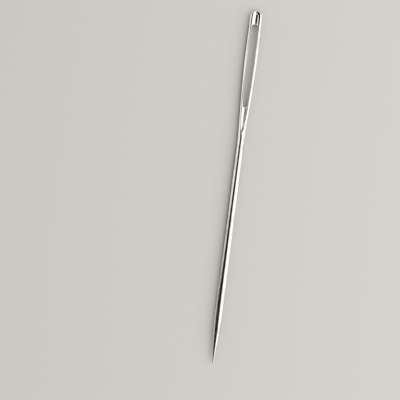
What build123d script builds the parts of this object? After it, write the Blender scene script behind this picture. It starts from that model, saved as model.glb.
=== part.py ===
"""A yarn needle, made from one length of hard steel wire: a flattened head with a long
punched eye and a gutter on each face at one end, and a ground point at the other. It lies
on its shank along the X axis, with the crown of the head towards +X, the point towards -X
and the eye opening straight up along Z. The origin is under the middle of its length, on
the surface that it lies on. Sizes are in millimetres."""

from build123d import *
from math import asin, cos, degrees, pi, radians, sin
import os

# The whole needle
needle_length = 70.0
shank_diameter = 1.62

# The point, an ogive ground on the end of the shank and just rounded at its tip
point_length = 11.4
tip_radius = 0.08

# The neck, a slight waist between the stamped head and the round shank
neck_to_crown = 25.9
neck_diameter = 1.53
neck_taper_length = 5.0

# The head, flattened between two dies, widest part of the way down the eye
head_width = 2.66
head_thickness = 1.42
widest_to_crown = 8.3
shoulder_width = 2.42
shoulder_thickness = 1.3
dome_height = 0.92
head_taper_power = 1.2
shoulder_taper_power = 1.6
section_fullness_share = 0.2

# The gutters, one pressed in each face, which leave a web of metal between them
crown_web = 0.6
throat_web = 0.84
crown_gutter_width = 1.9
throat_gutter_width = 1.5
runout_gutter_width = 0.7
gutter_runout_length = 5.7
gutter_fade_power = 2

# The eye, a punched slot with bowed sides, rounded corners and burnished edges
eye_to_crown = 2.85
eye_length = 16.25
eye_width = 1.5
eye_top_width = 1.22
eye_bottom_width = 0.86
eye_widest_share = 0.4
eye_top_corner_radius = 0.4
eye_bottom_corner_radius = 0.25
eye_edge_radius = 0.18
punch_overrun = 1.0

# How far the limbs beside the eye reach into the crown and the throat
crown_stub_length = 0.6
throat_stub_length = 0.45

# How finely the head is drawn, and how close two ends come before they are one edge
section_points = 32
head_sections = 25
dome_sections = 6
join_tolerance = 0.0001

# Places along the needle that follow from the sizes
axis_height = shank_diameter / 2
crown_end = needle_length / 2
tip_end = -needle_length / 2
point_start = tip_end + point_length
dome_base = crown_end - dome_height
widest_place = crown_end - widest_to_crown
neck_place = crown_end - neck_to_crown
shank_end = neck_place - neck_taper_length
eye_top = crown_end - eye_to_crown
eye_bottom = eye_top - eye_length
crown_cut = eye_top - crown_stub_length
throat_cut = eye_bottom + throat_stub_length


def ease(share):
    """Zero up to a share of nothing, one from a share of one, and smooth between."""
    share = min(max(share, 0), 1)
    return share * share * (3 - 2 * share)


def between(start, end, share):
    """The size that is a share of the way from the start size to the end size."""
    return start + (end - start) * share


def cross_plane(x):
    """The plane square to the needle's axis at x, with its own X across the needle."""
    return Plane(origin=(x, 0, axis_height), x_dir=(0, 1, 0), z_dir=(1, 0, 0))


def round_shank():
    """The round part of the wire between the head and the point."""
    length = shank_end - point_start
    return cross_plane(point_start) * extrude(Circle(shank_diameter / 2), length)


def ground_point():
    """The point, turned from half an outline about the axis. It is a tangent ogive: one arc
    that leaves the shank without a kink and runs into the arc of the tip where the two have
    the same slope."""
    radius = shank_diameter / 2
    reach = point_length - tip_radius
    ogive_radius = (reach**2 + radius**2 - tip_radius**2) / (2 * (radius - tip_radius))
    turn = degrees(asin(reach / (ogive_radius - tip_radius)))
    ogive = CenterArc((point_start, radius - ogive_radius), ogive_radius, 90, turn)
    tip = CenterArc((tip_end + tip_radius, 0), tip_radius, 90 + turn, 90 - turn)
    base = Line((point_start, radius), (point_start, 0))
    axis = Line((point_start, 0), (tip_end, 0))
    return Pos(0, 0, axis_height) * revolve(make_face([ogive, tip, base, axis]), Axis.X)


def neck_taper():
    """The slight taper from the round shank down to the neck."""
    ends = (shank_diameter / 2, neck_diameter / 2)
    on_shank = (Align.CENTER, Align.CENTER, Align.MIN)
    return cross_plane(shank_end) * Cone(*ends, neck_taper_length, align=on_shank)


def head_size(x):
    """The width and thickness of the head at x, and how far its cross section has gone
    from the round of the neck to the full shape of the stamped head."""
    if x <= widest_place:
        share = (widest_place - x) / (widest_place - neck_place)
        stamped = cos(share * pi / 2) ** head_taper_power
        width = between(neck_diameter, head_width, stamped)
        thickness = between(neck_diameter, head_thickness, stamped)
        return width, thickness, stamped
    share = ((x - widest_place) / (dome_base - widest_place)) ** shoulder_taper_power
    width = between(head_width, shoulder_width, share)
    thickness = between(head_thickness, shoulder_thickness, share)
    return width, thickness, 1


def gutter_size(x):
    """The width and depth of the gutters at x. They are pressed down to the web along the
    eye and the crown, and run out towards the neck below the eye."""
    if x < eye_bottom:
        gone = (eye_bottom - x) / gutter_runout_length
        full_depth = (head_size(eye_bottom)[1] - throat_web) / 2
        width = between(throat_gutter_width, runout_gutter_width, ease(gone))
        return width, full_depth * (1 - ease(gone))
    share = ease((x - eye_bottom) / eye_length)
    width = between(throat_gutter_width, crown_gutter_width, share)
    web = between(throat_web, crown_web, share)
    return width, (head_size(x)[1] - web) / 2


def head_outline(x, scale=1):
    """One closed curve across the head at x: a full oval with the gutters dipping into its
    faces. The scale draws it smaller, about its centre, for the dome of the crown, and the
    gutters fade out as it shrinks."""
    width, thickness, stamped = head_size(min(x, dome_base))
    gutter_width, gutter_depth = gutter_size(min(x, dome_base))
    gutter_depth = gutter_depth * scale**gutter_fade_power
    fullness = 1 / (1 + section_fullness_share * stamped)
    points = []
    for i in range(section_points):
        turn = 2 * pi * i / section_points
        reach_across = abs(cos(turn)) ** fullness
        reach_up = abs(sin(turn)) ** fullness
        across = width / 2 * reach_across
        up = thickness / 2 * reach_up
        if across < gutter_width / 2:
            up -= gutter_depth * cos(pi * across / gutter_width) ** 2
        across = across if cos(turn) > 0 else -across
        up = up if sin(turn) > 0 else -up
        points.append((across * scale, up * scale))
    steps = [i / section_points for i in range(section_points + 1)]
    outline = Edge.make_spline(points, periodic=True, parameters=steps)
    return cross_plane(x) * make_face(outline)


def stamped_head():
    """The head before the eye is punched: from the neck to the shoulders, then the dome
    that closes the crown, and the taper that joins them to the shank."""
    shares = [i / head_sections for i in range(head_sections + 1)]
    barrel = loft([head_outline(between(neck_place, dome_base, share)) for share in shares])

    turns = [radians(90) * i / dome_sections for i in range(dome_sections)]
    rings = [head_outline(dome_base + dome_height * sin(a), cos(a)) for a in turns]
    dome = loft(rings + [Vertex(crown_end, 0, axis_height)])
    return barrel.fuse(dome, neck_taper(), tol=join_tolerance)


def eye_punch():
    """The punch that makes the eye. Each side is two arcs that meet, level with the
    needle's axis, where the eye is widest."""
    widest = (eye_top - eye_length * eye_widest_share, eye_width / 2)
    up = TangentArc(widest, (eye_top, eye_top_width / 2), tangent=(1, 0))
    down = TangentArc(widest, (eye_bottom, eye_bottom_width / 2), tangent=(-1, 0))
    sides = [up, down, mirror(up, Plane.XZ), mirror(down, Plane.XZ)]
    top = Line((eye_top, -eye_top_width / 2), (eye_top, eye_top_width / 2))
    bottom = Line((eye_bottom, -eye_bottom_width / 2), (eye_bottom, eye_bottom_width / 2))
    outline = make_face(sides + [top, bottom])
    outline = fillet(outline.vertices().group_by(Axis.X)[-1], eye_top_corner_radius)
    outline = fillet(outline.vertices().group_by(Axis.X)[0], eye_bottom_corner_radius)
    height = shank_diameter + 2 * punch_overrun
    return Pos(0, 0, -punch_overrun) * extrude(outline, height)


def eye_rims(punched):
    """The edges round both mouths of the eye, without the upright ones in its corners."""
    ends = (eye_bottom - eye_edge_radius, eye_top + eye_edge_radius)
    sides = (-eye_width / 2, eye_width / 2)
    near = punched.edges().filter_by_position(Axis.X, *ends).filter_by_position(Axis.Y, *sides)
    return near.filter_by(Axis.Z, reverse=True)


def burnished_head():
    """The head with its eye punched and the edges of the eye burnished round, so that they
    don't cut the yarn."""
    punched = stamped_head() - eye_punch()
    return fillet(eye_rims(punched), eye_edge_radius)


def needle_stretches():
    """The needle in its named stretches. It is one piece of wire, and each stretch meets
    the next face to face: the point, the shank, the throat below the eye, the two limbs
    beside the eye, and the crown above it. Left is the limb on the left when the crown is
    seen at the top."""
    head = burnished_head()
    crown = split(head, bisect_by=cross_plane(crown_cut), keep=Keep.TOP)
    lower = split(head, bisect_by=cross_plane(crown_cut), keep=Keep.BOTTOM)
    throat = split(lower, bisect_by=cross_plane(throat_cut), keep=Keep.BOTTOM)
    limbs = split(lower, bisect_by=cross_plane(throat_cut), keep=Keep.TOP)
    right_limb, left_limb = limbs.solids().sort_by(Axis.Y)
    return {
        "point": ground_point(),
        "shank": round_shank(),
        "throat": throat,
        "left_limb": left_limb,
        "right_limb": right_limb,
        "crown": crown,
    }


os.makedirs("parts", exist_ok=True)
for name, stretch in needle_stretches().items():
    stretch.label = name
    export_step(stretch, f"parts/{name}.step")
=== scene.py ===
"""A yarn needle of plated steel wire, modelled over its frame: a round shank, a ground point,
and a flattened head with a long punched eye and a gutter on each face. Lengths are in metres
and the needle lies along X with its crown towards +X, its point towards -X and its eye
opening straight up."""

from math import acos, cos, pi, radians, sin, sqrt

import bmesh
import bpy
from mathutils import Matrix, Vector


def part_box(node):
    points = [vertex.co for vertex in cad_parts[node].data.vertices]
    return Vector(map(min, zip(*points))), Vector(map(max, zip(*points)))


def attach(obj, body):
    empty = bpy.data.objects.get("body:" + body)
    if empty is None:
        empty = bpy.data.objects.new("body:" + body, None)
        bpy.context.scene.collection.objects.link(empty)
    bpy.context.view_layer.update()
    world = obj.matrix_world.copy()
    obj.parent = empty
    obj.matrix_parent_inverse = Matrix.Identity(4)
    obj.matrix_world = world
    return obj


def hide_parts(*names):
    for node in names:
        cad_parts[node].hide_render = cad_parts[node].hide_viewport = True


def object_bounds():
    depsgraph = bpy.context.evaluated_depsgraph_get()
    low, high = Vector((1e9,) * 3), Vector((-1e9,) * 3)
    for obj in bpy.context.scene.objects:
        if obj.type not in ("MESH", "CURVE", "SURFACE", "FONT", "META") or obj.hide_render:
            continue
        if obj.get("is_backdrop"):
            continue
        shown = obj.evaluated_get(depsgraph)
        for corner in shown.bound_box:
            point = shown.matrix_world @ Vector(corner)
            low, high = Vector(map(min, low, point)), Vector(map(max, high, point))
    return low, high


bl_info = {
    "name": "Yarn Needle",
    "version": (1, 0, 0),
    "blender": (4, 5, 0),
    "location": "3D View > Sidebar > Needle",
    "description": "Models a large-eye yarn needle of plated wire, with its finish and a stage",
    "category": "Add Mesh",
}

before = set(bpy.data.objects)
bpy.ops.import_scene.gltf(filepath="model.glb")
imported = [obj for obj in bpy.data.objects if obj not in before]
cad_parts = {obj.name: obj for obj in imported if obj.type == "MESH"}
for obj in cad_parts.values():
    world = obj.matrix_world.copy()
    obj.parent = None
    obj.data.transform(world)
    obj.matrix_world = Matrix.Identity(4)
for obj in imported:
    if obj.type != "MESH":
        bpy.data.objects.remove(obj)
MM = 0.001

# Places and sizes that the frame gives
NODES = ("point", "shank", "throat", "left_limb", "right_limb", "crown")
CAD_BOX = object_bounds()
TIP_END = CAD_BOX[0].x
CROWN_END = CAD_BOX[1].x
POINT_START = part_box("shank")[0].x
SHANK_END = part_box("shank")[1].x
SHANK_RADIUS = (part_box("shank")[1].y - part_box("shank")[0].y) / 2
AXIS_HEIGHT = (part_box("shank")[1].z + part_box("shank")[0].z) / 2
HEAD_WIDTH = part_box("left_limb")[1].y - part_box("right_limb")[0].y

# How the head widens from its neck and narrows again to its shoulders
HEAD_TAPER_POWER = 1.2
SHOULDER_TAPER_POWER = 1.6

# How the wire is divided: every ring has the same columns, counted from its side to the middle
# of its face, and one column runs along the rim of the eye
QUARTER_STEPS = 8
RIM_COLUMN = 5
HOLDING_GAP = 1.2 * MM
SAME_PLACE = 0.0004 * MM
TIP_TURNS = (25, 60)
DOME_TURNS = (22, 42, 60, 75)
POINT_RINGS = 8
NECK_RINGS = 3
THROAT_RINGS = 12
EYE_RINGS = 11
CROWN_RINGS = 3
SMOOTHING_LEVELS = 2

# The corners of the eye: how far round its corner each column next to the rim column is, and
# how much higher than the middle of the web an edge has to be to belong to a mouth of the eye
CORNER_TURNS = {RIM_COLUMN - 1: 40, RIM_COLUMN: 60, RIM_COLUMN + 1: 30}
MOUTH_SHARE = 0.8

# The finishes: how many lines and patches of wear there are to a metre, how much the lines are
# drawn out along the needle, how fine both are, and where they begin and end as the noise rises
PLATE_LINES, PLATE_PATCHES = 16000, 420
CUT_LINES, CUT_PATCHES = 6000, 900
LINE_STRETCH = 0.03
LINE_DETAIL, PATCH_DETAIL = 3, 4
LINE_RANGE = (0.3, 0.7)
PATCH_RANGE = (0.45, 0.75)

# How far the haze of the gutters reaches from their middle, how the plating changes over its
# places, and how much of the wear it shows
GUTTER_HAZE = (0.2 * MM, 0.7 * MM)
GRINDING_REACH = 1.5 * MM
CROWN_REACH = 1.5 * MM
GUTTER_WEAR = 0.3
DULLING = 0.5
WEAR_HAZE = 0.45
LINE_ROUGHNESS = 0.04
GRINDING_ROUGHNESS = 0.04
SHANK_LINES = 0.6
CUT_HAZE = (0.8, 1.2)
WALL_SLOPE = 0.4

# The stage. A soft box on the right lights the floor. The steel mirrors six cards in its place.
# The cards light nothing and are seen only in the steel, so they are painted reflections: a white
# one on the right and another just over the floor there, both painted highlights; a pale one on the
# left, a painted warm reflection, with a small grey one under it, a painted dark reflection for the
# gutter below the eye; a dark strip just over the floor beside the needle's left flank, a painted
# reflection of the needle's contact shadow; and a dark one along the middle, a painted dark
# reflection. Each card has a name, a height, a tint, how strongly it glows beside the point and
# beside the crown, and an outline: a row of places along the needle, with where it begins and ends
# across it.
FLOOR_SIZE = 3
FLOOR_ROUGHNESS = 0.7
BOX_TURN = 36
BOX_DISTANCE = 0.3
BOX_SIZE = (0.6, 0.42)
CLIP_START = 0.01
WHITE = (1, 0.99, 0.97)
PAINTED_REFLECTION_CARDS = (
    # painted highlights: glowing cards that only the steel mirrors
    ("white_card", 0.1, WHITE, (1.35, 1.35), ((-0.2, -1.2, 0.02), (0.2, -1.2, 0.02))),
    ("low_card", 0.0001, WHITE, (1.2, 1.2), ((-0.2, -1.2, -0.0034), (0.2, -1.2, -0.0034))),
    # a painted warm reflection on the left, which only the steel mirrors
    ("pale_card", 0.09, (1, 0.92, 0.85), (0.85, 1.2), ((-0.1, 0.03, 0.4), (0.2, 0.03, 0.4))),
    # a painted dark reflection that darkens the gutter below the eye
    ("grey_card", 0.025, (1, 0.95, 0.9), (0.08, 0.08), (
        (0.0184, 0.018, 0.046), (0.0223, 0.018, 0.046),
    )),
    # a painted reflection of the needle's contact shadow beside its left flank
    ("shade_card", 0.0001, (1, 0.8, 0.6), (0.03, 0.03), (
        (-0.026, 0.0014, 0.0015), (-0.016, 0.0014, 0.0025), (-0.006, 0.0014, 0.0045),
        (0.0325, 0.0014, 0.0045),
    )),
    # a painted dark reflection: a dim sheet that puts the dark line along the middle of the steel
    ("dark_card", 0.08, (1, 0.8, 0.6), (0.02, 0.02), (
        (-0.12, -0.05, 0.9), (-0.07, -0.045, 0.9), (-0.048, -0.046, 0.8), (-0.035, -0.022, 0.19),
        (-0.027, -0.017, 0.144), (-0.018, -0.021, 0.108), (-0.006, -0.022, 0.074),
        (0.012, -0.03, 0.041), (0.0165, -0.032, 0.044), (0.0215, 0, 0.055),
        (0.0275, 0, 0.055), (0.0295, -0.024, 0.05), (0.033, -0.024, 0.04), (0.0345, -0.02, 0),
        (0.0415, -0.02, 0), (0.043, -0.024, 0.077), (0.12, -0.024, 0.077),
    )),
)


def length(name, description, millimetres):
    """A length that a user may change, kept in metres."""
    return bpy.props.FloatProperty(
        name=name, description=description, default=millimetres * MM, precision=6,
        unit="LENGTH", subtype="DISTANCE",
    )


def share(name, description, default):
    """A share from nothing to the whole that a user may change."""
    return bpy.props.FloatProperty(
        name=name, description=description, default=default, min=0, max=1, subtype="FACTOR",
    )


def colour(name, description, default):
    """A colour that a user may change."""
    return bpy.props.FloatVectorProperty(
        name=name, description=description, default=default, min=0, max=1, subtype="COLOR",
    )


class NeedleSizes(bpy.types.PropertyGroup):
    """The sizes of the needle's point, neck, head, gutters and eye"""

    tip_radius: length("Tip radius", "How blunt the tip of the point is", 0.08)
    neck_to_crown: length("Neck to crown", "From the narrowest place of the wire", 25.9)
    neck_diameter: length("Neck diameter", "Across the wire at its narrowest", 1.53)
    head_thickness: length("Head thickness", "From face to face beside the eye", 1.42)
    widest_to_crown: length("Widest to crown", "From the widest place of the head", 8.3)
    shoulder_width: length("Shoulder width", "Across the head under its dome", 2.42)
    shoulder_thickness: length("Shoulder thickness", "From face to face under the dome", 1.3)
    dome_height: length("Dome height", "How far the crown rises over its shoulders", 0.92)
    crown_web: length("Crown web", "Metal left between the gutters in the crown", 0.6)
    throat_web: length("Throat web", "Metal left between the gutters under the eye", 0.84)
    crown_gutter: length("Crown gutter", "Width of the gutters in the crown", 1.9)
    throat_gutter: length("Throat gutter", "Width of the gutters under the eye", 1.5)
    runout_gutter: length("Run-out gutter", "Width of the gutters where they end", 0.7)
    runout_length: length("Run-out length", "How far the gutters run on under the eye", 5.2)
    eye_to_crown: length("Eye to crown", "Metal left over the eye", 2.85)
    eye_length: length("Eye length", "From the bottom to the top of the eye", 16.25)
    eye_width: length("Eye width", "Across the eye at its widest", 1.5)
    eye_top_width: length("Eye top width", "Across the eye at its top", 1.22)
    eye_bottom_width: length("Eye bottom width", "Across the eye at its bottom", 0.86)
    eye_widest: share("Widest at", "How far down the eye its widest place is", 0.4)
    top_corner: length("Top corner", "Radius of the corners at the top of the eye", 0.4)
    bottom_corner: length("Bottom corner", "Radius of the bottom corners of the eye", 0.25)
    rim_width: length("Rim width", "How far the burnished rim of the eye reaches", 0.13)
    fullness: share("Fullness", "How much fuller than an oval the stamped head is", 0.2)


class NeedleFinish(bpy.types.PropertyGroup):
    """The colours and the polish of the plated steel"""

    plate: colour("Plate", "The bright plating", (0.83, 0.82, 0.8))
    tarnish: colour("Tarnish", "The plating where it has dulled", (0.6, 0.57, 0.53))
    cut_steel: colour("Cut steel", "The sheared wall of the eye", (0.55, 0.535, 0.515))
    shine: share("Shine", "Roughness of the well polished plating", 0.1)
    crown_shine: share("Crown shine", "Part of that roughness that is left on the crown", 0.25)
    haze: share("Haze", "Roughness where the polish is worn or was never reached", 0.3)
    line_depth: length("Line depth", "How deep the polishing lines are", 0.0015)
    cut_depth: length("Cut depth", "How deep the lines of the sheared wall are", 0.003)


class StageSettings(bpy.types.PropertyGroup):
    """The floor, the light and the camera"""

    floor: colour("Floor", "The pale floor", (0.53, 0.52, 0.505))
    sky: colour("Surroundings", "The pale room that the steel mirrors", (0.93, 0.9, 0.86))
    sky_strength: bpy.props.FloatProperty(
        name="Room light", description="How bright the room is", default=0.75, min=0)
    key_power: bpy.props.FloatProperty(
        name="Key power", description="Power of the soft box", default=1.1, min=0, unit="POWER")
    lens: bpy.props.FloatProperty(
        name="Lens", description="Focal length in millimetres", default=100,
        subtype="DISTANCE_CAMERA")
    frame_width: length("Frame width", "Width that the camera takes in at the needle", 78.72)
    lean: bpy.props.FloatProperty(
        name="Lean", description="How far the needle leans to the right of upright",
        default=radians(7.17), subtype="ANGLE")
    aside: length("Aside", "How far right of the picture's middle the needle's middle is", 6.83)
    above: length("Above", "How far over the picture's middle the needle's middle is", 2.5)


def ease(part):
    """Zero up to a part of nothing, one from a part of one, and smooth between."""
    part = min(max(part, 0), 1)
    return part * part * (3 - 2 * part)


def between(start, end, part):
    """The size that is a part of the way from the start size to the end size."""
    return start + (end - start) * part


def steps(start, end, count):
    """Evenly spaced places after the start, up to and with the end."""
    return [between(start, end, (i + 1) / count) for i in range(count)]


# The shape of the wire

def eye_ends(sizes):
    """Where the eye begins and ends along the needle."""
    top = CROWN_END - sizes.eye_to_crown
    return top - sizes.eye_length, top


def head_size(sizes, x):
    """Width and thickness of the wire at x, and how far it is stamped from round to oval."""
    neck_place = CROWN_END - sizes.neck_to_crown
    widest_place = CROWN_END - sizes.widest_to_crown
    dome_base = CROWN_END - sizes.dome_height
    if x <= neck_place:
        waist = (x - SHANK_END) / (neck_place - SHANK_END)
        diameter = between(2 * SHANK_RADIUS, sizes.neck_diameter, waist)
        return diameter, diameter, 0
    if x <= widest_place:
        part = (widest_place - x) / (widest_place - neck_place)
        stamped = cos(part * pi / 2) ** HEAD_TAPER_POWER
        width = between(sizes.neck_diameter, HEAD_WIDTH, stamped)
        return width, between(sizes.neck_diameter, sizes.head_thickness, stamped), stamped
    part = ((x - widest_place) / (dome_base - widest_place)) ** SHOULDER_TAPER_POWER
    width = between(HEAD_WIDTH, sizes.shoulder_width, part)
    return width, between(sizes.head_thickness, sizes.shoulder_thickness, part), 1


def gutter_size(sizes, x):
    """Width and depth of the gutters at x. They are pressed down to the web beside and over
    the eye, and run out towards the neck below it."""
    bottom, _ = eye_ends(sizes)
    if x < bottom:
        gone = min((bottom - x) / sizes.runout_length, 1)
        full_depth = (head_size(sizes, bottom)[1] - sizes.throat_web) / 2
        width = between(sizes.throat_gutter, sizes.runout_gutter, ease(gone))
        return width, full_depth * (1 - gone**2)
    part = ease((x - bottom) / sizes.eye_length)
    web = between(sizes.throat_web, sizes.crown_web, part)
    width = between(sizes.throat_gutter, sizes.crown_gutter, part)
    return width, (head_size(sizes, x)[1] - web) / 2


def rim_line(sizes, x):
    """Half the width between the two rim columns at x. Beside the eye they run along its
    bowed sides, over it they stay as wide as its top, and under it they spread evenly again."""
    bottom, top = eye_ends(sizes)
    widest = top - sizes.eye_length * sizes.eye_widest
    if x >= widest:
        part = min((x - widest) / (top - widest), 1)
        return between(sizes.eye_width, sizes.eye_top_width, part**2) / 2
    if x >= bottom:
        part = (widest - x) / (widest - bottom)
        return between(sizes.eye_width, sizes.eye_bottom_width, part**2) / 2
    neck_place = CROWN_END - sizes.neck_to_crown
    even = head_size(sizes, x)[0] / 2 * cos(pi / 2 * RIM_COLUMN / QUARTER_STEPS)
    return between(even, sizes.eye_bottom_width / 2, ease((x - neck_place) / (bottom - neck_place)))


def face_height(sizes, x, across, kept=1):
    """How far the face of the wire is from its middle plane, at x and so far across, where
    some part of the gutters' depth is kept."""
    width, thickness, stamped = head_size(sizes, x)
    gutter_width, gutter_depth = gutter_size(sizes, x)
    power = 2 * (1 + sizes.fullness * stamped)
    height = thickness / 2 * max(1 - (2 * across / width) ** power, 0) ** (1 / power)
    if across < gutter_width / 2:
        height -= gutter_depth * kept * cos(pi * across / gutter_width) ** 2
    return height


def columns_across(sizes, x):
    """How far across each column of the ring at x stands, from the side to the middle."""
    width, _, stamped = head_size(sizes, x)
    fullness = 1 / (1 + sizes.fullness * stamped)
    rim = rim_line(sizes, x)
    bottom, top = eye_ends(sizes)
    corner = {bottom: sizes.bottom_corner, top: sizes.top_corner}.get(x)
    if corner:
        rim -= corner * (1 - sin(radians(CORNER_TURNS[RIM_COLUMN])))
    rim_turn = acos((2 * rim / width) ** (1 / fullness))
    places = []
    for column in range(QUARTER_STEPS + 1):
        turn = rim_turn * column / RIM_COLUMN
        if column > RIM_COLUMN:
            inner = (column - RIM_COLUMN) / (QUARTER_STEPS - RIM_COLUMN)
            turn = between(rim_turn, pi / 2, inner)
        places.append(width / 2 * max(cos(turn), 0) ** fullness)
    if corner:
        beside = rim_line(sizes, x)
        places[RIM_COLUMN + 1] = beside - corner * (1 - sin(radians(CORNER_TURNS[RIM_COLUMN + 1])))
        places[RIM_COLUMN + 2] = beside - corner
    return places


def ring_columns(sizes, x, scale=1):
    """Across and up for each column of the ring at x. The dome's rings are drawn smaller by
    a scale, and the gutters fade out as they shrink. Subdividing draws a ring in by a third
    of the way to the middle of its neighbours, so each column stands that much further out."""
    across = columns_across(sizes, x)
    places = [(y * scale, face_height(sizes, x, y, scale**2) * scale) for y in across]
    before = [(places[1][0], -places[1][1])] + places[:-1]
    after = places[1:] + [(-places[-2][0], places[-2][1])]
    return [
        ((y * 4 - (b[0] + a[0]) / 2) / 3, (z * 4 - (b[1] + a[1]) / 2) / 3)
        for (y, z), b, a in zip(places, before, after)
    ]


def ogive_radius(sizes, x):
    """Radius of the ground point at x, an arc that leaves the shank without a kink."""
    reach = POINT_START - TIP_END - sizes.tip_radius
    tip = sizes.tip_radius
    arc = (reach**2 + SHANK_RADIUS**2 - tip**2) / (2 * (SHANK_RADIUS - tip))
    return SHANK_RADIUS - arc + sqrt(arc**2 - (POINT_START - x) ** 2)


# Working on a mesh by hand

def add_finished(adder, name, **settings):
    """Adds a primitive with everything else deselected, and puts its place in its mesh."""
    bpy.ops.object.select_all(action="DESELECT")
    adder(**settings)
    piece = bpy.context.object
    piece.name = piece.data.name = name
    bpy.ops.object.transform_apply(location=True, rotation=True, scale=True)
    return piece


def select(piece, test, kind="verts"):
    """Selects the vertices, edges or faces that pass the test of their place and normal."""
    bpy.ops.mesh.select_all(action="DESELECT")
    mesh = bmesh.from_edit_mesh(piece.data)
    for element in getattr(mesh, kind):
        if kind == "verts":
            chosen = test(element.co)
        elif kind == "edges":
            chosen = all(test(corner.co) for corner in element.verts)
        else:
            chosen = test(element.calc_center_median(), element.normal)
        if chosen:
            element.select_set(True)
    mesh.select_flush(True)
    bmesh.update_edit_mesh(piece.data)


def near(a, b):
    """Whether two places on one axis are the same."""
    return abs(a - b) < SAME_PLACE


def extrude_ring(piece, x, new_x):
    """Extrudes the open ring at x to its new place along the needle."""
    select(piece, lambda place: near(place.x, x))
    bpy.ops.mesh.extrude_region_move(TRANSFORM_OT_translate={"value": (new_x - x, 0, 0)})


def resize_selected(x, across, up):
    """Resizes what is selected across the needle and up, about its axis at x."""
    centre = (x, 0, AXIS_HEIGHT)
    bpy.ops.transform.resize(value=(1, across, up), center_override=centre)


def draw_ring(piece, x, old, new):
    """Draws each column of the ring at x from its old place to its new one, on both sides and
    both faces at once."""
    for (across, up), (new_across, new_up) in zip(old, new):
        select(piece, lambda place: near(place.x, x) and near(abs(place.y), across)
               and near(abs(place.z - AXIS_HEIGHT), up))
        wider = new_across / across if across > SAME_PLACE else 1
        higher = new_up / up if up > SAME_PLACE else 1
        resize_selected(x, wider, higher)


def close_ring(piece, x, end):
    """Closes the open ring at x with a fan of faces that meets at the end of the needle."""
    extrude_ring(piece, x, end)
    bpy.ops.mesh.merge(type="CENTER")


# The needle

def drawn_wire():
    """The round wire between the head and the point, open at both ends, with a ring near each
    end that keeps it straight up to there."""
    start, end = POINT_START + HOLDING_GAP, SHANK_END - HOLDING_GAP
    sides = 4 * QUARTER_STEPS
    radius = SHANK_RADIUS * (4 - cos(2 * pi / sides)) / 3
    wire = add_finished(
        bpy.ops.mesh.primitive_cylinder_add, "needle", vertices=sides, radius=radius,
        depth=end - start, end_fill_type="NOTHING",
        location=((start + end) / 2, 0, AXIS_HEIGHT), rotation=(0, pi / 2, 0),
    )
    bpy.ops.object.mode_set(mode="EDIT")
    extrude_ring(wire, end, SHANK_END)
    extrude_ring(wire, start, POINT_START)
    return wire


def grind_point(wire, sizes):
    """Draws the end of the wire down along the ogive and rounds its tip."""
    arc_end = TIP_END + sizes.tip_radius
    places = steps(POINT_START, arc_end, POINT_RINGS)
    rings = [(x, ogive_radius(sizes, x)) for x in places]
    for turn in TIP_TURNS:
        slope = radians(turn)
        rings.append((arc_end - sizes.tip_radius * sin(slope), sizes.tip_radius * cos(slope)))
    x, radius = POINT_START, SHANK_RADIUS
    for new_x, new_radius in rings:
        extrude_ring(wire, x, new_x)
        resize_selected(new_x, new_radius / radius, new_radius / radius)
        x, radius = new_x, new_radius
    close_ring(wire, x, TIP_END)


def head_places(sizes):
    """Where the rings of the neck, the throat, the eye and the crown stand."""
    bottom, top = eye_ends(sizes)
    neck_place = CROWN_END - sizes.neck_to_crown
    dome_base = CROWN_END - sizes.dome_height
    first, last = bottom + sizes.bottom_corner, top - sizes.top_corner
    places = steps(SHANK_END, neck_place, NECK_RINGS)
    places += steps(neck_place, bottom - sizes.bottom_corner, THROAT_RINGS)
    places += [bottom, first] + steps(first, last, EYE_RINGS)
    over_eye = top + sizes.bottom_corner
    return places + [top, over_eye] + steps(over_eye, dome_base, CROWN_RINGS)


def stamp_head(wire, sizes):
    """Draws the other end of the wire out into the neck and the flat head, with a gutter in
    each face, and closes it with a dome."""
    x, columns = SHANK_END, ring_columns(sizes, SHANK_END)
    for new_x in head_places(sizes):
        extrude_ring(wire, x, new_x)
        new_columns = ring_columns(sizes, new_x)
        draw_ring(wire, new_x, columns, new_columns)
        x, columns = new_x, new_columns
    dome_base = x
    for turn in DOME_TURNS:
        new_x = dome_base + sizes.dome_height * sin(radians(turn))
        extrude_ring(wire, x, new_x)
        new_columns = ring_columns(sizes, dome_base, cos(radians(turn)))
        draw_ring(wire, new_x, columns, new_columns)
        x, columns = new_x, new_columns
    close_ring(wire, x, CROWN_END)


def punch_eye(wire, sizes):
    """Cuts the eye through the head, rounds the four corners of its outline, walls it and
    burnishes its rims."""
    bottom, top = eye_ends(sizes)
    ends = ((bottom, sizes.bottom_corner, 1), (top, sizes.top_corner, -1))

    def inside(place, normal):
        return bottom < place.x < top and abs(place.y) < rim_line(sizes, place.x) - SAME_PLACE

    select(wire, inside, "faces")
    bpy.ops.mesh.delete(type="FACE")
    for end, corner, inwards in ends:
        across = [y for y, _ in ring_columns(sizes, end)]
        for column, turn in CORNER_TURNS.items():
            select(wire, lambda place: near(place.x, end) and near(abs(place.y), across[column]))
            reach = corner * (1 - cos(radians(turn))) * inwards
            bpy.ops.transform.translate(value=(reach, 0, 0))

    bpy.ops.mesh.select_mode(type="EDGE")
    bpy.ops.mesh.select_all(action="DESELECT")
    bpy.ops.mesh.select_non_manifold(
        extend=False, use_wire=False, use_boundary=True, use_multi_face=False,
        use_non_contiguous=False, use_verts=False)
    bpy.ops.mesh.bridge_edge_loops(number_cuts=2, interpolation="LINEAR")

    def on_rim(place):
        beside = rim_line(sizes, place.x) + sizes.rim_width / 2
        high = abs(place.z - AXIS_HEIGHT) > sizes.crown_web / 2 * MOUTH_SHARE
        return bottom - SAME_PLACE < place.x < top + SAME_PLACE and abs(place.y) < beside and high

    select(wire, on_rim, "edges")
    bpy.ops.mesh.bevel(offset=sizes.rim_width, segments=2, profile=0.5, affect="EDGES")
    bpy.ops.mesh.select_mode(type="VERT")


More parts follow.
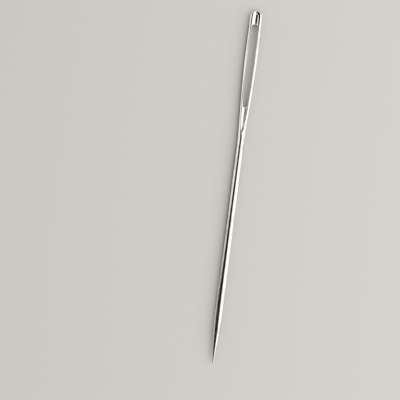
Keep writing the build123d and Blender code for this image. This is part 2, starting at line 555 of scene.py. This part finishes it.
def fit_to_frame(piece):
    """Stretches the smoothed piece by the little that smoothing drew its ends in, so that it
    is as long as its frame, and keeps it as low and as narrow."""
    low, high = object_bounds()
    stretch = [(CAD_BOX[1][i] - CAD_BOX[0][i]) / (high[i] - low[i]) for i in range(3)]
    middle = (TIP_END + CROWN_END) / 2
    bpy.ops.object.mode_set(mode="EDIT")
    bpy.ops.mesh.select_all(action="SELECT")
    bpy.ops.transform.translate(value=(middle - (low.x + high.x) / 2, 0, 0))
    bpy.ops.transform.resize(
        value=(stretch[0], min(stretch[1], 1), min(stretch[2], 1)),
        center_override=(middle, 0, AXIS_HEIGHT))
    bpy.ops.object.mode_set(mode="OBJECT")


def smooth(piece):
    """Subdivides the piece for good and shades it smooth."""
    bpy.ops.mesh.select_all(action="SELECT")
    bpy.ops.mesh.normals_make_consistent(inside=False)
    bpy.ops.object.mode_set(mode="OBJECT")
    modifier = piece.modifiers.new("smoothing", "SUBSURF")
    modifier.levels = modifier.render_levels = SMOOTHING_LEVELS
    bpy.ops.object.modifier_apply(modifier=modifier.name)
    bpy.ops.object.shade_smooth()


# Finishes

def add_node(tree, kind, **settings):
    """Adds a node with its settings."""
    node = tree.nodes.new(kind)
    for key, value in settings.items():
        setattr(node, key, value)
    return node


def feed(tree, node, **values):
    """Links or sets the inputs of a node. They are named with _ for a space, or numbered
    with n before the number where several share a name."""
    for key, value in values.items():
        numbered = key[0] == "n" and key[1:].isdigit()
        socket = node.inputs[int(key[1:]) if numbered else key.replace("_", " ")]
        if isinstance(value, bpy.types.NodeSocket):
            tree.links.new(value, socket)
        else:
            socket.default_value = value
    return node


def maths(tree, operation, *values, clamp=False):
    """What one operation makes of its values."""
    node = add_node(tree, "ShaderNodeMath", operation=operation, use_clamp=clamp)
    return feed(tree, node, **{f"n{i}": value for i, value in enumerate(values)}).outputs[0]


def ramp(tree, value, start, end, low, high):
    """Maps a value that runs from start to end smoothly on to low to high."""
    node = add_node(tree, "ShaderNodeMapRange", interpolation_type="SMOOTHSTEP")
    feed(tree, node, Value=value, From_Min=start, From_Max=end, To_Min=low, To_Max=high)
    return node.outputs[0]


def noise(tree, vector, scale, detail):
    """Smooth noise of the scale and detail given."""
    node = add_node(tree, "ShaderNodeTexNoise")
    return feed(tree, node, Vector=vector, Scale=scale, Detail=detail).outputs[0]


def worn_polish_group():
    """Lines that the polishing left along the needle, and the broad patches where handling
    has dulled it. Both go from nothing to one over the surface."""
    group = bpy.data.node_groups.new("worn_polish", "ShaderNodeTree")
    faces = group.interface
    faces.new_socket("Vector", in_out="INPUT", socket_type="NodeSocketVector")
    faces.new_socket("Line Scale", in_out="INPUT", socket_type="NodeSocketFloat")
    faces.new_socket("Patch Scale", in_out="INPUT", socket_type="NodeSocketFloat")
    faces.new_socket("Lines", in_out="OUTPUT", socket_type="NodeSocketFloat")
    faces.new_socket("Patches", in_out="OUTPUT", socket_type="NodeSocketFloat")
    given = add_node(group, "NodeGroupInput")
    made = add_node(group, "NodeGroupOutput")
    stretch = add_node(group, "ShaderNodeMapping")
    feed(group, stretch, Vector=given.outputs["Vector"], Scale=(LINE_STRETCH, 1, 1))
    lines = noise(group, stretch.outputs[0], given.outputs["Line Scale"], LINE_DETAIL)
    patches = noise(group, given.outputs["Vector"], given.outputs["Patch Scale"], PATCH_DETAIL)
    feed(group, made, Lines=ramp(group, lines, *LINE_RANGE, 0, 1))
    feed(group, made, Patches=ramp(group, patches, *PATCH_RANGE, 0, 1))
    return group


def new_material(name):
    """A new material with its nodes and its shader."""
    material = bpy.data.materials.new(name)
    material.use_nodes = True
    return material, material.node_tree, material.node_tree.nodes["Principled BSDF"]


def worn_polish(tree, group, place, line_scale, patch_scale):
    """The lines and the patches of the worn polish in a material, at scales of its own."""
    node = add_node(tree, "ShaderNodeGroup", node_tree=group)
    feed(tree, node, Vector=place, Line_Scale=line_scale, Patch_Scale=patch_scale)
    return node.outputs["Lines"], node.outputs["Patches"]


def mixed_colour(tree, part, first, second):
    """A colour that goes from the first to the second as the part rises."""
    node = add_node(tree, "ShaderNodeMix", data_type="RGBA")
    feed(tree, node, n0=part, n6=first, n7=second)
    return node.outputs[2]


def plated_steel(finish, sizes, group):
    """Bright plating over polished steel. It is brightest on the crown, hazier down in the
    gutters under the eye, where the polishing never reached, and finely lined on the ground
    point."""
    material, tree, shader = new_material("plated_steel")
    place = add_node(tree, "ShaderNodeTexCoord").outputs["Object"]
    lines, patches = worn_polish(tree, group, place, PLATE_LINES, PLATE_PATCHES)
    axes = feed(tree, add_node(tree, "ShaderNodeSeparateXYZ"), Vector=place)
    along, across = axes.outputs["X"], maths(tree, "ABSOLUTE", axes.outputs["Y"])
    bottom, top = eye_ends(sizes)

    in_throat = maths(
        tree, "MULTIPLY", ramp(tree, along, bottom - sizes.runout_length, bottom, 0, 1),
        ramp(tree, along, bottom, top, 1, 0))
    in_gutter = maths(tree, "MULTIPLY", ramp(tree, across, *GUTTER_HAZE, 1, 0), in_throat)
    on_point = ramp(tree, along, POINT_START - GRINDING_REACH, POINT_START, 1, 0)
    worn = maths(tree, "MULTIPLY_ADD", in_gutter, GUTTER_WEAR, patches)
    dulled = maths(tree, "MULTIPLY", worn, DULLING, clamp=True)
    tinted = mixed_colour(tree, dulled, (*finish.plate, 1), (*finish.tarnish, 1))

    wear_haze = (finish.haze - finish.shine) * WEAR_HAZE
    hazy = maths(tree, "MULTIPLY_ADD", worn, wear_haze, finish.shine)
    lined = maths(tree, "MULTIPLY_ADD", lines, LINE_ROUGHNESS, hazy)
    ground = maths(tree, "MULTIPLY_ADD", on_point, GRINDING_ROUGHNESS, lined)
    bright = ramp(tree, along, top - CROWN_REACH, top, 1, finish.crown_shine)
    rough = maths(tree, "MULTIPLY", ground, bright)
    depth = maths(tree, "MULTIPLY", lines, ramp(tree, on_point, 0, 1, SHANK_LINES, 1))
    bump = feed(tree, add_node(tree, "ShaderNodeBump"), Height=depth, Distance=finish.line_depth)
    feed(tree, shader, Base_Color=tinted, Roughness=rough, Normal=bump.outputs[0], Metallic=1)
    return material


def cut_steel(finish, group):
    """The wall of the eye: sheared by the punch, with lines straight through the needle."""
    material, tree, shader = new_material("cut_steel")
    place = add_node(tree, "ShaderNodeTexCoord").outputs["Object"]
    upright = add_node(tree, "ShaderNodeMapping")
    feed(tree, upright, Vector=place, Rotation=(0, pi / 2, 0))
    lines, patches = worn_polish(tree, group, upright.outputs[0], CUT_LINES, CUT_PATCHES)
    tinted = mixed_colour(tree, patches, (*finish.cut_steel, 1), (*finish.tarnish, 1))
    least, most = CUT_HAZE
    rough = ramp(tree, lines, 0, 1, finish.haze * least, finish.haze * most)
    bump = feed(tree, add_node(tree, "ShaderNodeBump"), Height=lines, Distance=finish.cut_depth)
    feed(tree, shader, Base_Color=tinted, Roughness=rough, Normal=bump.outputs[0], Metallic=1)
    return material


def finish_needle(piece, sizes, finish):
    """Gives the plating to the whole needle and the cut steel to the wall of its eye."""
    group = worn_polish_group()
    piece.data.materials.append(plated_steel(finish, sizes, group))
    piece.data.materials.append(cut_steel(finish, group))
    bottom, top = eye_ends(sizes)

    def on_wall(place, normal):
        beside = rim_line(sizes, place.x) + sizes.rim_width / 2
        within = bottom - sizes.rim_width < place.x < top + sizes.rim_width
        return within and abs(place.y) < beside and abs(normal.z) < WALL_SLOPE

    bpy.ops.object.mode_set(mode="EDIT")
    bpy.ops.mesh.select_mode(type="FACE")
    select(piece, on_wall, "faces")
    piece.active_material_index = 1
    bpy.ops.object.material_slot_assign()
    bpy.ops.mesh.select_mode(type="VERT")
    bpy.ops.object.mode_set(mode="OBJECT")


class NEEDLE_OT_needle(bpy.types.Operator):
    """Model the needle from one length of wire and give it its finish"""

    bl_idname = "needle.make_needle"
    bl_label = "Make Needle"

    def execute(self, context):
        sizes, finish = context.scene.needle_sizes, context.scene.needle_finish
        wire = drawn_wire()
        grind_point(wire, sizes)
        stamp_head(wire, sizes)
        punch_eye(wire, sizes)
        smooth(wire)
        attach(wire, "root")
        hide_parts(*NODES)
        fit_to_frame(wire)
        finish_needle(wire, sizes, finish)
        return {"FINISHED"}


# The stage

def matt_material(name, base, roughness):
    """One colour that mirrors nothing."""
    material, tree, shader = new_material(name)
    feed(tree, shader, Base_Color=(*base, 1), Roughness=roughness, Specular_IOR_Level=0)
    return material


def add_floor(settings):
    """The plain pale floor that the needle lies on."""
    floor = add_finished(bpy.ops.mesh.primitive_plane_add, "floor", size=FLOOR_SIZE)
    floor.data.materials.append(matt_material("floor", settings.floor, FLOOR_ROUGHNESS))
    floor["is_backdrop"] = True


def add_painted_reflection(name, height, tint, glow, outline):
    """A level card over the needle that only the steel mirrors: a painted reflection, since it
    lights nothing. It glows from one strength beside the point to the other beside the crown."""
    bpy.ops.object.select_all(action="DESELECT")
    bpy.ops.mesh.primitive_grid_add(x_subdivisions=len(outline) - 1, y_subdivisions=1, size=2)
    card = bpy.context.object
    card.name = card.data.name = name
    bpy.ops.object.mode_set(mode="EDIT")
    for i, (x, start, end) in enumerate(outline):
        old_x = between(-1, 1, i / (len(outline) - 1))
        for old_y, y in ((-1, start), (1, end)):
            select(card, lambda place: near(place.x, old_x) and near(place.y, old_y))
            bpy.ops.transform.translate(value=(x - old_x, y - old_y, height))
    bpy.ops.object.mode_set(mode="OBJECT")
    material, tree, shader = new_material(name)
    place = add_node(tree, "ShaderNodeTexCoord").outputs["Object"]
    axes = feed(tree, add_node(tree, "ShaderNodeSeparateXYZ"), Vector=place)
    glows = ramp(tree, axes.outputs["X"], TIP_END, CROWN_END, *glow)
    feed(tree, shader, Base_Color=(0, 0, 0, 1), Roughness=1, Specular_IOR_Level=0,
         Emission_Color=(*tint, 1), Emission_Strength=glows)
    material.cycles.emission_sampling = "NONE"
    card.data.materials.append(material)
    card.visible_camera = card.visible_diffuse = card.visible_shadow = False
    card.visible_transmission = card.visible_volume_scatter = False
    card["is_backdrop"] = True


def add_soft_box(settings):
    """A long soft box over the right side of the needle, seen from its point."""
    turn = radians(BOX_TURN)
    bpy.ops.object.light_add(
        type="AREA", rotation=(turn, 0, 0),
        location=(0, -BOX_DISTANCE * sin(turn), BOX_DISTANCE * cos(turn)))
    box = bpy.context.object
    box.name = "soft_box"
    box.data.shape = "RECTANGLE"
    box.data.size, box.data.size_y = BOX_SIZE
    box.data.energy = settings.key_power
    box.visible_camera = box.visible_glossy = False


def add_room(scene, settings):
    """The pale room around the floor."""
    world = bpy.data.worlds.new("pale_room")
    world.use_nodes = True
    background = world.node_tree.nodes["Background"]
    background.inputs["Color"].default_value = (*settings.sky, 1)
    background.inputs["Strength"].default_value = settings.sky_strength
    scene.world = world


def add_camera(scene, settings):
    """Looks straight down, turned so that the needle leans to the right of upright."""
    lean = settings.lean
    up = Vector((cos(lean), sin(lean), 0))
    right = Vector((sin(lean), -cos(lean), 0))
    data = bpy.data.cameras.new("camera")
    camera = bpy.data.objects.new("camera", data)
    scene.collection.objects.link(camera)
    data.lens = settings.lens
    distance = settings.lens * settings.frame_width / data.sensor_width
    middle = Vector(((TIP_END + CROWN_END) / 2, 0, AXIS_HEIGHT))
    camera.location = middle - right * settings.aside - up * settings.above
    camera.location.z += distance
    camera.rotation_euler = (0, 0, lean - pi / 2)
    data.clip_start = CLIP_START
    scene.camera = camera


class NEEDLE_OT_stage(bpy.types.Operator):
    """Lay the pale floor, and set up the room, the soft light and the camera"""

    bl_idname = "needle.make_stage"
    bl_label = "Make Stage"

    def execute(self, context):
        settings = context.scene.needle_stage
        add_floor(settings)
        add_room(context.scene, settings)
        add_soft_box(settings)
        # the cards are painted reflections that only the steel mirrors
        for card in PAINTED_REFLECTION_CARDS:
            add_painted_reflection(*card)
        add_camera(context.scene, settings)
        context.scene.view_settings.view_transform = "Standard"
        return {"FINISHED"}


class NEEDLE_PT_panel(bpy.types.Panel):
    """The needle's operators and settings"""

    bl_idname = "NEEDLE_PT_panel"
    bl_label = "Yarn Needle"
    bl_space_type = "VIEW_3D"
    bl_region_type = "UI"
    bl_category = "Needle"

    def draw(self, context):
        for operator in (NEEDLE_OT_needle, NEEDLE_OT_stage):
            self.layout.operator(operator.bl_idname)
        for setting, group in SETTINGS.items():
            box = self.layout.box()
            for name in group.__annotations__:
                box.prop(getattr(context.scene, setting), name)


SETTINGS = {
    "needle_sizes": NeedleSizes,
    "needle_finish": NeedleFinish,
    "needle_stage": StageSettings,
}
CLASSES = (*SETTINGS.values(), NEEDLE_OT_needle, NEEDLE_OT_stage, NEEDLE_PT_panel)


def register():
    """Makes the settings, the operators and the panel known."""
    for item in CLASSES:
        bpy.utils.register_class(item)
    for name, group in SETTINGS.items():
        setattr(bpy.types.Scene, name, bpy.props.PointerProperty(type=group))


def unregister():
    """Takes all of them away again."""
    for name in SETTINGS:
        delattr(bpy.types.Scene, name)
    for item in reversed(CLASSES):
        bpy.utils.unregister_class(item)


def main():
    """Models the needle and its stage."""
    register()
    bpy.ops.needle.make_needle()
    bpy.ops.needle.make_stage()


if __name__ == "__main__":
    main()
